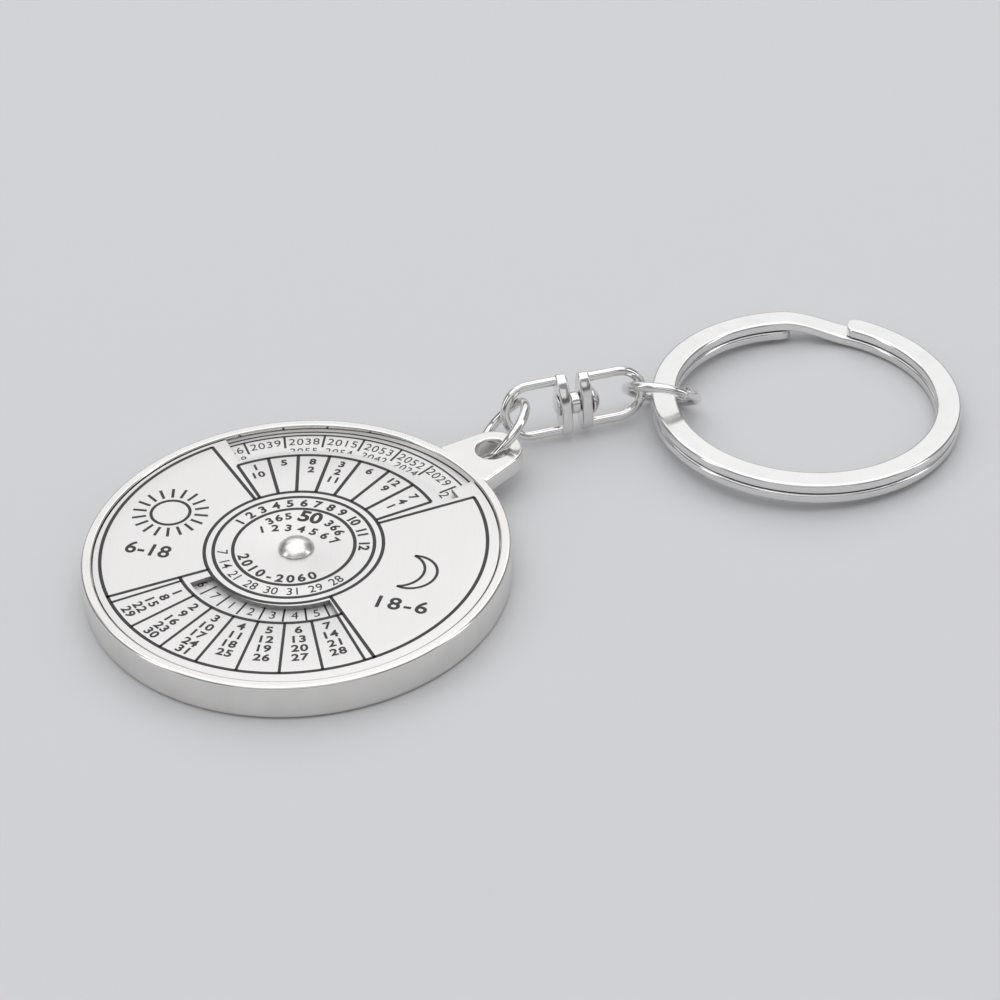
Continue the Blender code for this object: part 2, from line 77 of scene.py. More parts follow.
# Print: ink, lines, sun and lettering, and how far each plate's print is set off its axis.
PRINT_LIFT, PRINT_THICKNESS = 0.004, 0.012
LINE_WIDTH, FINE_LINE_WIDTH = 0.33, 0.27
HUB_LINE, DATE_LINE, MONTH_LINE, OUTER_LINE = 8.35, 11.1, 14.1, 18.0
SECTORS = (117.5, 200.5, 294.9, 380.7)
SUN_RADIUS, SUN_LINE_WIDTH = 1.84, 0.3
RAYS, RAY_INNER, RAY_OUTER, RAY_WIDTH = 18, 2.32, 3.64, 0.28
YEAR_LINE, YEAR_TICK, YEAR_LINE_WIDTH, YEAR_TICK_WIDTH = 17.85, 15.95, 0.2, 0.22
YEAR_ROWS = ((16.85, 1.05), (15.35, 0.95))
YEAR_EDGE, YEAR_PITCH = 108.1, 12.86
DAY_TICK_WIDTH, DAY_HEIGHT = 0.18, 1.05
DAY_EDGES = (201.6, 214.7, 227.6, 240.0, 252.5, 264.6, 276.6, 288.3, 300.6)
DAY_PITCH = 13.05
CAP_HEIGHT = 0.73
FACE_SHIFT, YEAR_SHIFT = (-0.22, 0.28), (-0.05, 0.6)
THIN = {"weight": 0.0}
BOLD = {"stretch": 1.05, "weight": 0.035}

# Rivets.
RIVET_FOOT, RIVET_SHANK, RIVET_HEAD, RIVET_RISE, RIVET_PLAY = 0.85, 0.9, 1.65, 0.9, 0.05
PIN_SHANK, PIN_HEAD, PIN_RISE, PIN_PEEN, PEEN_RISE = 0.6, 1.4, 0.9, 1.1, 0.35
COLLAR_HOLE, COLLAR_RADIUS, COLLAR_ROUND = 0.7, 1.1, 0.1

# Wire and links: a ring's ends are given as turns and what is cut off the wire's radius there.
WIRE_SIDES, RING_STEPS, BOW_STEPS = 32, 120, 48
RING_RADIUS, RING_WIRE, RING_SEAM, RING_SPRUNG = 3.55, 0.48, 0.06, 40
RING_ENDS, RING_RUN = ((0.0, 0.07), (0.3, 0.02), (1.2, 0.0)), 3
STIRRUP_WIRE, STIRRUP_WIDTH, STIRRUP_LENGTH, LEG_HOLD = 0.47, 5.05, 6.95, 0.08
BAR_THICKNESS, BAR_DEPTH, BAR_OVER, BAR_SOFT = 1.1, 2.8, 0.12, 0.22
SWIVEL_GAP, SWIVEL_PLAY = 1.05, 0.08
SPLIT_OUTER, SPLIT_WIDTH, SPLIT_THICKNESS, SPLIT_GAP = 15.2, 2.4, 1.0, 0.12
SPLIT_START, SPLIT_TRAVEL, SPLIT_STEP, SPLIT_ROUND = 42.5, 695.5, 2.0, 0.28
SPLIT_JOG_START, SPLIT_JOG = 331.5, 29.0
SPLIT_END, SPLIT_TIP, SPLIT_END_SHARES = 1.1, 0.42, (0.0, 0.06, 0.15, 0.3, 0.5, 0.75)


def shift(x, y, z=0.0):
    """A move by millimetres."""
    return Matrix.Translation(Vector((x, y, z)) * MM)


def frame_at(centre, z_axis, x_hint):
    """A frame with its Z along z_axis and its X as near to x_hint as it can be."""
    z = Vector(z_axis).normalized()
    x = Vector(x_hint)
    x = (x - z * x.dot(z)).normalized()
    turned = Matrix((x, z.cross(x), z)).transposed().to_4x4()
    return shift(*centre) @ turned


FIRST_RING = frame_at(
    (24.819, 7.965, 3.153), (-0.625771, 0.405581, 0.666269), (-0.543885, -0.83916, 0)
)
SECOND_RING = frame_at(
    (41.599, 6.595, 2.986), (0.449712, 0.539115, 0.71212), (-0.767906, 0.640563, 0)
)
FIRST_STIRRUP = frame_at(
    (25.586, 9.805, 3.542), (0.054111, 0.334388, 0.940881), (0.987362, -0.15848, -0.00046)
)
SECOND_STIRRUP = frame_at(
    (40.347, 7.436, 3.535), (0.020862, 0.127096, 0.991671), (-0.987362, 0.15848, 0.00046)
)
SPLIT_RING = shift(54.098, 0, 0.69) @ Matrix.Rotation(radians(2.6), 4, "Y")


def feed(node, inputs):
    """Give a node's sockets their values, or join them to the sockets that they read."""
    for key, value in inputs.items():
        if isinstance(value, bpy.types.NodeSocket):
            node.id_data.links.new(value, node.inputs[key])
        else:
            node.inputs[key].default_value = value


def add_node(tree, kind, inputs=None, **settings):
    """A node with its settings made and its sockets fed."""
    node = tree.nodes.new(kind)
    for key, value in settings.items():
        setattr(node, key, value)
    feed(node, inputs or {})
    return node


def add_noise(tree, vector, scale, detail, roughness=0.5):
    """The grey value of a noise texture."""
    values = {"Vector": vector, "Scale": scale, "Detail": detail, "Roughness": roughness}
    return add_node(tree, "ShaderNodeTexNoise", values).outputs["Fac"]


def add_range(tree, value, low, high, start=0.0, end=1.0):
    """A value's span from start to end, spread from low to high and clamped there."""
    values = {"Value": value, "From Min": start, "From Max": end, "To Min": low, "To Max": high}
    return add_node(tree, "ShaderNodeMapRange", values).outputs["Result"]


def add_math(tree, operation, *inputs, clamp=False):
    """The result of a sum on one to three values or sockets."""
    settings = {"operation": operation, "use_clamp": clamp}
    return add_node(tree, "ShaderNodeMath", dict(enumerate(inputs)), **settings).outputs[0]


def add_tint(tree, colour, tone):
    """A colour made lighter or darker by a factor."""
    values = {0: colour, "Scale": tone}
    return add_node(tree, "ShaderNodeVectorMath", values, operation="SCALE").outputs["Vector"]


def add_mapping(tree, vector, **values):
    """Coordinates turned and stretched."""
    return add_node(tree, "ShaderNodeMapping", {"Vector": vector, **values}).outputs["Vector"]


def new_group(name, inputs):
    """An empty shader node group that puts out colour, roughness and height, with its two ends."""
    group = bpy.data.node_groups.new(name, "ShaderNodeTree")
    for socket, kind, value in inputs:
        made = group.interface.new_socket(name=socket, in_out="INPUT", socket_type=kind)
        if value is not None:
            made.default_value = value
    for socket, kind in (("Colour", "Color"), ("Roughness", "Float"), ("Height", "Float")):
        group.interface.new_socket(name=socket, in_out="OUTPUT", socket_type="NodeSocket" + kind)
    return group, group.nodes.new("NodeGroupInput").outputs, group.nodes.new("NodeGroupOutput")


def build_handled_group():
    """Wear of plated metal that is carried about: cloudy blotches and hairline scratches."""
    group, given, end = new_group("handled_metal", (
        ("Vector", "NodeSocketVector", None), ("Colour", "NodeSocketColor", None),
        ("Size", "NodeSocketFloat", 400.0), ("Gloss", "NodeSocketFloat", 0.15),
    ))
    blotch = add_noise(group, given["Vector"], given["Size"], 5.0, 0.6)
    along = add_mapping(group, given["Vector"], Scale=(1.0, 22.0, 9.0), Rotation=(0.3, 0.2, 0.7))
    across = add_mapping(group, given["Vector"], Scale=(17.0, 1.0, 6.0), Rotation=(0.1, 0.5, 0.35))
    first = add_noise(group, along, 420.0, 4.0, 0.75)
    second = add_noise(group, across, 360.0, 4.0, 0.75)
    scratches = add_math(group, "MAXIMUM", first, second)
    lines = add_range(group, scratches, 0.0, 1.0, 0.6, 0.78)
    dull = add_range(group, blotch, -0.03, 0.06, 0.3, 0.75)
    gloss = add_math(group, "ADD", dull, given["Gloss"])
    tone = add_range(group, blotch, 1.03, 0.93, 0.25, 0.75)
    feed(end, {
        "Colour": add_tint(group, given["Colour"], tone),
        "Roughness": add_math(group, "MULTIPLY_ADD", lines, 0.03, gloss, clamp=True),
        "Height": scratches,
    })
    return group


def build_brushed_group():
    """Fine straight brushing along X, slightly cloudy, with painted shade on upright walls."""
    group, given, end = new_group("brushed_sheet_painted_wall_shade", (
        ("Vector", "NodeSocketVector", None), ("Colour", "NodeSocketColor", None),
        ("Gloss", "NodeSocketFloat", 0.35),
    ))
    stretch = add_mapping(group, given["Vector"], Scale=(160.0, 9000.0, 160.0))
    hair = add_noise(group, stretch, 1.0, 3.0, 0.6)
    cloud = add_noise(group, given["Vector"], 260.0, 4.0, 0.55)
    mixed = add_math(group, "MULTIPLY_ADD", cloud, 0.5, hair)
    tone = add_range(group, mixed, 0.98, 1.01, 0.5, 1.0)
    # Painted shade: upright faces, such as the cut walls of the slot and notch, are darkened in
    # colour.
    normal = add_node(group, "ShaderNodeTexCoord").outputs["Normal"]
    facing = add_node(group, "ShaderNodeSeparateXYZ", {0: normal}).outputs["Z"]
    painted_wall_shade = add_range(group, add_math(group, "ABSOLUTE", facing), 0.34, 1.0, 0.4, 0.9)
    shade = add_math(group, "MULTIPLY", tone, painted_wall_shade)
    spread = add_range(group, cloud, -0.05, 0.05, 0.25, 0.75)
    feed(end, {
        "Colour": add_tint(group, given["Colour"], shade),
        "Roughness": add_math(group, "ADD", spread, given["Gloss"], clamp=True),
        "Height": hair,
    })
    return group


HANDLED = build_handled_group()
BRUSHED = build_brushed_group()


def new_material(name):
    """A material with its node tree and its shader."""
    made = bpy.data.materials.new(name)
    made.use_nodes = True
    return made, made.node_tree, made.node_tree.nodes["Principled BSDF"]


def surface(name, group, colour, metallic, gloss, bump, turn=0.0, **size):
    """A material whose colour, roughness and relief come from one of the shared groups."""
    made, tree, shader = new_material(name)
    place = add_node(tree, "ShaderNodeTexCoord").outputs["Object"]
    vector = add_mapping(tree, place, Rotation=(0, 0, radians(turn)))
    values = {"Vector": vector, "Colour": (*colour, 1), "Gloss": gloss, **size}
    effect = add_node(tree, "ShaderNodeGroup", values, node_tree=group).outputs
    relief = {"Strength": bump, "Distance": 0.00002, "Height": effect["Height"]}
    feed(shader, {
        "Metallic": metallic,
        "Base Color": effect["Colour"],
        "Roughness": effect["Roughness"],
        "Normal": add_node(tree, "ShaderNodeBump", relief).outputs["Normal"],
    })
    return made


def print_ink(name, colour):
    """Screen-printed enamel: near black, slightly uneven in tone and gloss."""
    made, tree, shader = new_material(name)
    place = add_node(tree, "ShaderNodeTexCoord").outputs["Object"]
    cloud = add_noise(tree, place, 2500.0, 2.0)
    feed(shader, {
        "Base Color": add_tint(tree, colour, add_range(tree, cloud, 0.8, 1.5)),
        "Roughness": add_range(tree, cloud, 0.4, 0.55),
    })
    return made


CASE_NICKEL = surface(
    "polished_nickel_case", HANDLED, (0.80, 0.785, 0.76), 1.0, 0.14, 0.02, Size=260.0
)
RIVET_NICKEL = surface(
    "tumbled_rivet_nickel", HANDLED, (0.80, 0.79, 0.775), 1.0, 0.27, 0.02, Size=600.0
)
WIRE_NICKEL = surface(
    "bright_nickel_wire", HANDLED, (0.81, 0.80, 0.785), 1.0, 0.10, 0.004, Size=500.0
)
SPLIT_NICKEL = surface(
    "split_ring_nickel", HANDLED, (0.81, 0.805, 0.795), 1.0, 0.13, 0.008, Size=350.0
)
# Both plates take the brushed group's painted shade on their upright walls.
SATIN_DIAL = surface("satin_dial_plate", BRUSHED, (0.80, 0.79, 0.78), 0.55, 0.38, 0.02, -66.0)
PALE_YEARS = surface("pale_year_plate", BRUSHED, (0.82, 0.815, 0.805), 0.4, 0.45, 0.02, -66.0)
BLACK_INK = print_ink("black_print", (0.022, 0.021, 0.022))


def add_object(name, data):
    """An object in the scene that holds the given data."""
    made = bpy.data.objects.new(name, data)
    bpy.context.collection.objects.link(made)
    return made


def finish_piece(name, bm, body, material, replaced=(), sharp=35):
    """Turn a bmesh into a smooth-shaded piece that rides on a body."""
    bmesh.ops.remove_doubles(bm, verts=bm.verts, dist=0.00005 * MM)
    bmesh.ops.recalc_face_normals(bm, faces=bm.faces)
    mesh = bpy.data.meshes.new(name)
    bm.to_mesh(mesh)
    bm.free()
    mesh.materials.append(material)
    mesh.shade_smooth()
    mesh.set_sharp_from_angle(angle=radians(sharp))
    piece = add_object(name, mesh)
    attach(piece, body)
    if replaced:
        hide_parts(*replaced)


def moved(bm, matrix):
    """Place everything made so far."""
    bmesh.ops.transform(bm, matrix=matrix, verts=bm.verts)
    return bm


def join(bm, other):
    """Add another bmesh's shape and free it."""
    mesh = bpy.data.meshes.new("joined")
    other.to_mesh(mesh)
    other.free()
    bm.from_mesh(mesh)
    bpy.data.meshes.remove(mesh)


def thicken(bm, faces, way):
    """Draw flat faces out along a way in millimetres."""
    grown = bmesh.ops.extrude_face_region(bm, geom=faces)["geom"]
    fresh = [item for item in grown if isinstance(item, bmesh.types.BMVert)]
    bmesh.ops.translate(bm, vec=Vector(way) * MM, verts=fresh)


def soften(bm, edges, size, segments=5):
    """Round off edges."""
    bmesh.ops.bevel(
        bm, geom=edges, offset=size * MM, segments=segments, profile=0.5, affect="EDGES",
        material=-1,
    )


def sharp_edges(bm):
    """The edges whose faces meet at a sharp angle."""
    return [edge for edge in bm.edges if edge.calc_face_angle(0) > SHARP]


def level_rims(bm):
    """The sharp edges that lie level."""
    return [edge for edge in sharp_edges(bm)
            if abs(edge.verts[0].co.z - edge.verts[1].co.z) < 0.001 * MM]


def hold_flats(bm, axis):
    """Keep flat faces across an axis flat in their shading, by a narrow loop inside their edge."""
    flats = [face for face in bm.faces if abs(face.normal.dot(axis)) > 0.9999]
    bmesh.ops.inset_region(
        bm, faces=flats, thickness=0.02 * MM, use_even_offset=True, use_boundary=True
    )


def arc(radius, height, size, start, sweep, steps=6):
    """Points of a round in a profile, from a start angle through a sweep, in degrees."""
    angles = [radians(start + sweep * i / steps) for i in range(steps + 1)]
    return [(radius + size * cos(a), height + size * sin(a)) for a in angles]


def revolve(bm, points, steps, closed=False):
    """Spin a profile of (radius, height) points a full turn about Z."""
    verts = [bm.verts.new((r * MM, 0, z * MM)) for r, z in points]
    if closed:
        verts.append(bm.verts.new(verts[0].co))
    edges = [bm.edges.new(pair) for pair in zip(verts, verts[1:])]
    bmesh.ops.spin(
        bm, geom=verts + edges, cent=(0, 0, 0), axis=Z, angle=2 * pi, steps=steps, use_merge=True
    )


def flat_band(bm, inner, outer, start, end):
    """A flat strip between two radii, spun from one short edge."""
    turn = Matrix.Rotation(radians(start), 4, "Z")
    verts = [bm.verts.new(turn @ Vector((r * MM, 0, 0))) for r in (inner, outer)]
    edge = bm.edges.new(verts)
    bmesh.ops.spin(
        bm, geom=verts + [edge], cent=(0, 0, 0), axis=Z, angle=radians(end - start),
        steps=max(1, int(abs(end - start) / BAND_STEP)), use_merge=end - start >= 359.99,
    )


def build_case():
    """The cup with its rounded foot and rim, spun in one."""
    bm = bmesh.new()
    foot, rim, lip = CASE_RADIUS - FOOT_ROUND, CASE_RADIUS - RIM_ROUND, RECESS_RADIUS + LIP_ROUND
    points = [(0, 0), (foot - HOLD, 0)] + arc(foot, FOOT_ROUND, FOOT_ROUND, -90, 90, 8)
    points += [(CASE_RADIUS, FOOT_ROUND + HOLD), (CASE_RADIUS, CASE_TOP - RIM_ROUND - HOLD)]
    points += arc(rim, CASE_TOP - RIM_ROUND, RIM_ROUND, 0, 90, 8) + [(rim - HOLD, CASE_TOP)]
    points += [(lip + HOLD, CASE_TOP)] + arc(lip, CASE_TOP - LIP_ROUND, LIP_ROUND, 90, 90, 6)
    points += [(RECESS_RADIUS, CASE_TOP - LIP_ROUND - HOLD), (RECESS_RADIUS, FLOOR_TOP)]
    revolve(bm, points + [(0, FLOOR_TOP)], 256)
    finish_piece("case_cup", bm, "case", CASE_NICKEL, ("case",))


def lug_reach(angle):
    """Distance from the hole's centre to the lug's edge at an angle from its outward axis."""
    half, reach = LUG_ROOT / 2, LUG_RADIUS - CASE_RADIUS
    side = atan2(reach, half) + asin(LUG_END / hypot(reach, half))
    turn = abs(angle)
    if turn <= side:
        return LUG_END
    flank = LUG_END / max(cos(turn - side), 0.001)
    return min(flank, (reach + LUG_SINK) / max(-cos(turn), 0.001))


def build_lug():
    """The eye on the rim: a round blank drawn back to the rim, with its hole and soft edges."""
    bm = bmesh.new()
    level = shift(0, 0, LUG_BOTTOM)
    bmesh.ops.create_circle(bm, cap_ends=False, segments=96, radius=LUG_END * MM, matrix=level)
    for vert in bm.verts:
        angle = atan2(vert.co.y, vert.co.x)
        vert.co.xy = Vector((cos(angle), sin(angle))) * lug_reach(angle) * MM
    bmesh.ops.create_circle(bm, cap_ends=False, segments=96, radius=LUG_HOLE * MM, matrix=level)
    blank = bmesh.ops.bridge_loops(bm, edges=bm.edges[:])["faces"]
    thicken(bm, blank, (0, 0, LUG_TOP - LUG_BOTTOM))
    bmesh.ops.recalc_face_normals(bm, faces=bm.faces)
    soften(bm, level_rims(bm), LUG_SOFT)
    hold_flats(bm, Z)
    moved(bm, Matrix.Rotation(radians(LUG_ANGLE), 4, "Z") @ shift(LUG_RADIUS, 0))
    finish_piece("case_lug", bm, "case", CASE_NICKEL)


def sweep(bm, loop, places):
    """Draw a loop of edges from the first place on to each of the others, and cap both ends."""
    for near, far in zip(places, places[1:]):
        grown = bmesh.ops.extrude_edge_only(bm, edges=loop)["geom"]
        fresh = {item for item in grown if isinstance(item, bmesh.types.BMVert)}
        loop = [item for item in grown
                if isinstance(item, bmesh.types.BMEdge) and fresh.issuperset(item.verts)]
        bmesh.ops.transform(bm, matrix=far @ near.inverted(), verts=list(fresh))
    bmesh.ops.holes_fill(bm, edges=[edge for edge in bm.edges if edge.is_boundary], sides=64)


def round_wire(bm, places, radii):
    """Round wire through a run of places, with its radius at each."""
    places = [place @ Matrix.Scale(radius, 4) for place, radius in zip(places, radii)]
    bmesh.ops.create_circle(bm, cap_ends=False, segments=WIRE_SIDES, radius=MM, matrix=places[0])
    sweep(bm, bm.edges[:], places)


def spring(turn):
    """Share of a ring's sideways spring that is left at a turn from its end."""
    return max(0, 1 - turn / RING_SPRUNG) ** 2


def wire_ring(name, place, body, replaced, seam_angle, skew):
    """A round wire ring with butted ends, open by a hair and sprung aside by a little."""
    bm = bmesh.new()
    half = degrees(RING_SEAM / (2 * RING_RADIUS))
    ends = [(half + turn, painted_wall_shade) for turn, painted_wall_shade in RING_ENDS]
    first = half + RING_RUN
    run = [(first + (360 - 2 * first) * i / RING_STEPS, 0.0) for i in range(RING_STEPS + 1)]
    stations = ends + run + [(360 - turn, painted_wall_shade) for turn, painted_wall_shade in reversed(ends)]
    places = []
    for turn, painted_wall_shade in stations:
        at = shift(RING_RADIUS, 0, skew * (spring(turn) - spring(360 - turn)))
        around = Matrix.Rotation(radians(seam_angle + turn), 4, "Z")
        places.append(around @ at @ Matrix.Rotation(pi / 2, 4, "X"))
    round_wire(bm, places, [RING_WIRE - painted_wall_shade for turn, painted_wall_shade in stations])
    moved(bm, place)
    finish_piece(name, bm, body, WIRE_NICKEL, (replaced,))


def stirrup(name, place, body, replaced):
    """A bow of round wire on a flattened oval crossbar."""
    bm = bmesh.new()
    half = STIRRUP_WIDTH / 2
    centre = STIRRUP_WIRE + half
    bow = []
    for step in range(BOW_STEPS + 1):
        angle = radians(-90 + 180 * step / BOW_STEPS)
        at = shift(centre - half * cos(angle), 0, half * sin(angle))
        bow.append(at @ Matrix.Rotation(angle, 4, "Y"))
    leg, hold = shift(STIRRUP_LENGTH - BAR_THICKNESS / 2 - centre, 0), shift(LEG_HOLD, 0)
    places = [leg @ bow[0], hold @ bow[0]] + bow + [hold @ bow[-1], leg @ bow[-1]]
    round_wire(bm, places, [STIRRUP_WIRE] * len(places))
    join(bm, crossbar())
    moved(bm, place)
    finish_piece(name, bm, body, WIRE_NICKEL, (replaced,))


def crossbar():
    """The oval crossbar, pressed flat, with rolled edges."""
    bm = bmesh.new()
    height = STIRRUP_WIDTH / 2 + STIRRUP_WIRE + BAR_OVER
    oval = shift(STIRRUP_LENGTH - BAR_THICKNESS, 0) @ Matrix.Rotation(pi / 2, 4, "Y")
    oval = oval @ Matrix.Diagonal((height, BAR_DEPTH / 2, 1, 1))
    bmesh.ops.create_circle(bm, cap_ends=True, segments=72, radius=MM, matrix=oval)
    thicken(bm, bm.faces[:], (BAR_THICKNESS, 0, 0))
    soften(bm, sharp_edges(bm), BAR_SOFT)
    hold_flats(bm, X)
    return bm


def dome_points(radius, base, height, lip=0.12, steps=14):
    """A low domed head, from its edge up to the pole."""
    crown = height - lip
    sphere = (radius * radius + crown * crown) / (2 * crown)
    widest = asin(min(1.0, radius / sphere))
    points = [(radius, base), (radius, base + lip)]
    for i in range(1, steps + 1):
        angle = widest * (1 - i / steps)
        points.append((sphere * sin(angle), base + height - sphere * (1 - cos(angle))))
    return points


def build_rivets():
    """The centre rivet, and the swivel's pin with its washer."""
    bm = bmesh.new()
    head = FACE_TOP + RIVET_PLAY
    shank = [(0, RIVET_FOOT), (RIVET_SHANK, RIVET_FOOT), (RIVET_SHANK, head)]
    revolve(bm, shank + dome_points(RIVET_HEAD, head, RIVET_RISE), 96)
    finish_piece("domed_rivet", bm, "case", RIVET_NICKEL, ("centre_rivet",))
    along = FIRST_STIRRUP @ Matrix.Rotation(pi / 2, 4, "Y")
    inner = STIRRUP_LENGTH - BAR_THICKNESS - SWIVEL_PLAY
    outer = STIRRUP_LENGTH + SWIVEL_GAP + BAR_THICKNESS + SWIVEL_PLAY
    peen = reversed(dome_points(PIN_PEEN, inner, PEEN_RISE, lip=0.05))
    points = [(r, 2 * inner - z) for r, z in peen] + [(PIN_SHANK, inner), (PIN_SHANK, outer)]
    bm = bmesh.new()
    revolve(bm, points + dome_points(PIN_HEAD, outer, PIN_RISE, lip=0.15), 64)
    moved(bm, along)
    finish_piece("swivel_pin", bm, "swivel_first", WIRE_NICKEL, ("swivel_rivet",))
    low, high = STIRRUP_LENGTH + SWIVEL_PLAY, STIRRUP_LENGTH + SWIVEL_GAP - SWIVEL_PLAY
    near = COLLAR_RADIUS - COLLAR_ROUND
    points = [(COLLAR_HOLE, low), (near, low), (COLLAR_RADIUS, low + COLLAR_ROUND)]
    points += [(COLLAR_RADIUS, high - COLLAR_ROUND), (near, high), (COLLAR_HOLE, high)]
    bm = bmesh.new()
    revolve(bm, points, 64, closed=True)
    moved(bm, along)
    finish_piece(
        "swivel_collar", bm, "swivel_first", WIRE_NICKEL, ("swivel_washer",)
    )


def split_level(travel):
    """Height share of the split ring's wire, in degrees of travel from its upper end."""
    share = min(1.0, max(0.0, (travel - SPLIT_JOG_START) / SPLIT_JOG))
    return 1.0 - share * share * (3 - 2 * share)


def soft_section(side, top, soft, hold):
    """Outline of a flat wire with rolled corners, each held by a point just off either end."""
    outline = []
    for corner, (x, y) in enumerate(((1, 1), (-1, 1), (-1, -1), (1, -1))):
        turn = 90 * corner
        bend = [Vector(p) for p in arc(x * (side - soft), y * (top - soft), soft, turn, 90, 5)]
        t = radians(turn)
        outline.append(bend[0] - hold * Vector((-sin(t), cos(t))))
        outline += bend
        outline.append(bend[-1] + hold * Vector((-cos(t), -sin(t))))
    return outline


def build_split_ring():
    """Flat wire with rolled edges, drawn through two turns and the jog between them."""
    bm = bmesh.new()
    middle = SPLIT_OUTER - SPLIT_WIDTH / 2
    taper = degrees(SPLIT_END / middle)
    ends = [taper * share for share in SPLIT_END_SHARES]
    between = SPLIT_TRAVEL - 2 * taper
    count = int(between / SPLIT_STEP)
    travels = ends + [taper + between * i / count for i in range(count + 1)]
    travels += [SPLIT_TRAVEL - travel for travel in reversed(ends)]
    places = []
    for travel in travels:
        near_end = min(1.0, min(travel, SPLIT_TRAVEL - travel) / taper)
        width = SPLIT_TIP + (1 - SPLIT_TIP) * sqrt(max(0.0, 1 - (1 - near_end) ** 2))
        base = split_level(travel) * (SPLIT_THICKNESS + SPLIT_GAP) + SPLIT_THICKNESS / 2
        around = Matrix.Rotation(radians(SPLIT_START - travel), 4, "Z") @ shift(middle, 0, base)
        upright = Matrix.Rotation(pi / 2, 4, "X")
        places.append(around @ upright @ Matrix.Diagonal((width * MM, MM, MM, 1)))
    section = soft_section(SPLIT_WIDTH / 2, SPLIT_THICKNESS / 2, SPLIT_ROUND, HOLD)
    verts = [bm.verts.new(places[0] @ p.to_3d()) for p in section]
    sweep(bm, [bm.edges.new(pair) for pair in zip(verts, verts[1:] + verts[:1])], places)
    moved(bm, SPLIT_RING)
    finish_piece("key_split_ring", bm, "key_ring", SPLIT_NICKEL, ("split_ring",))


def build_face_plate():
    """The turning disc with its stepped notch and slot, the cut edges softened."""
    bm = bmesh.new()
    radii = (AXLE_HOLE, SLOT_INNER, SLOT_OUTER, NOTCH_INNER, NOTCH_STEP, PLATE_RADIUS)
    whole = tuple(zip(radii, radii[1:]))
    spans = (
        (NOTCH_START, NOTCH_STEP_END, whole[:3] + whole[4:]),
        (NOTCH_STEP_END, NOTCH_END, whole[:3]),
        (NOTCH_END, SLOT_START, whole),
        (SLOT_START, SLOT_END, whole[:1] + whole[2:]),
        (SLOT_END, NOTCH_START + 360, whole),
    )
    for start, end, bands in spans:
        for inner, outer in bands:
            flat_band(bm, inner, outer, start, end)
    bmesh.ops.remove_doubles(bm, verts=bm.verts, dist=0.001 * MM)
    moved(bm, shift(0, 0, FACE_TOP))
    bmesh.ops.recalc_face_normals(bm, faces=bm.faces)
    thicken(bm, bm.faces[:], (0, 0, FACE_BOTTOM - FACE_TOP))
    bmesh.ops.recalc_face_normals(bm, faces=bm.faces)
    soften(bm, level_rims(bm), CUT_SOFT, 3)
    finish_piece("dial_disc", bm, "dial", SATIN_DIAL, ("face_plate",), sharp=20)


def build_year_disc():
    """The still disc that bears the years, close to the case's wall, its edge softened."""
    bm = bmesh.new()
    edge, low = YEAR_RADIUS, YEAR_TOP - YEAR_THICKNESS
    points = [(AXLE_HOLE, low), (edge, low)]
    points += arc(edge - YEAR_ROUND, YEAR_TOP - YEAR_ROUND, YEAR_ROUND, 0, 90, 4)
    points += [(edge - YEAR_HOLD, YEAR_TOP), (AXLE_HOLE, YEAR_TOP)]
    revolve(bm, points, 192, closed=True)
    finish_piece("year_disc", bm, "case", PALE_YEARS, ("year_plate",))


CHARACTERS = {}


def glyph(text, weight, spacing):
    """The flat mesh of a text with cap height 1, centred on its own middle."""
    key = (text, weight, spacing)
    if key not in CHARACTERS:
        curve = bpy.data.curves.new("glyph", "FONT")
        curve.body = text
        curve.align_x = "CENTER"
        curve.resolution_u = 4
        curve.offset = weight
        curve.space_character = spacing
        holder = add_object("glyph", curve)
        bpy.context.view_layer.update()
        graph = bpy.context.evaluated_depsgraph_get()
        mesh = bpy.data.meshes.new_from_object(holder.evaluated_get(graph))
        bpy.data.objects.remove(holder)
        bpy.data.curves.remove(curve)
        across = [v.co.x for v in mesh.vertices]
        middle = Vector(((min(across) + max(across)) / 2, CAP_HEIGHT / 2, 0))
        size = Matrix.Scale(1 / (CAP_HEIGHT + 2 * weight), 4)
        mesh.transform(size @ Matrix.Translation(-middle))
        CHARACTERS[key] = mesh
    return CHARACTERS[key]


def add_label(bm, text, x, y, height, turn, stretch=1.0, weight=0.02, spacing=1.0):
    """Set a text flat on the dial: middle at x, y in mm, its up turned from +Y by degrees."""
    before = set(bm.verts)
    bm.from_mesh(glyph(text, weight, spacing))
    place = shift(x, y) @ Matrix.Rotation(radians(turn), 4, "Z")
    place = place @ Matrix.Diagonal((height * stretch * MM, height * MM, MM, 1))
    bmesh.ops.transform(bm, matrix=place, verts=[v for v in bm.verts if v not in before])


def ring_label(bm, text, radius, angle, height, outward=True, **style):
    """A label whose middle lies at a radius and an angle, reading up outwards or inwards."""
    a = radians(angle)
    turn = angle - 90 if outward else angle + 90
    add_label(bm, text, radius * cos(a), radius * sin(a), height, turn, **style)


def ring_text(bm, text, radius, start, end, height, outward=True, **style):
    """Single characters spaced evenly from one angle to the other."""
    pitch = (end - start) / (len(text) - 1)
    for i, character in enumerate(text):
        if character != " ":
            ring_label(bm, character, radius, start + pitch * i, height, outward, **style)


def line_arc(bm, radius, start=0.0, end=360.0, width=LINE_WIDTH):
    """A printed arc, as a flat strip."""
    flat_band(bm, radius - width / 2, radius + width / 2, start, end)


def line_ray(bm, angle, inner, outer, width=LINE_WIDTH):
    """A straight printed line along a radius, as a flat strip."""
    place = Matrix.Rotation(radians(angle), 4, "Z") @ shift((inner + outer) / 2, 0)
    place = place @ Matrix.Diagonal(((outer - inner) * MM, width * MM, 1, 1))
    bmesh.ops.create_grid(bm, x_segments=1, y_segments=1, size=0.5, matrix=place)


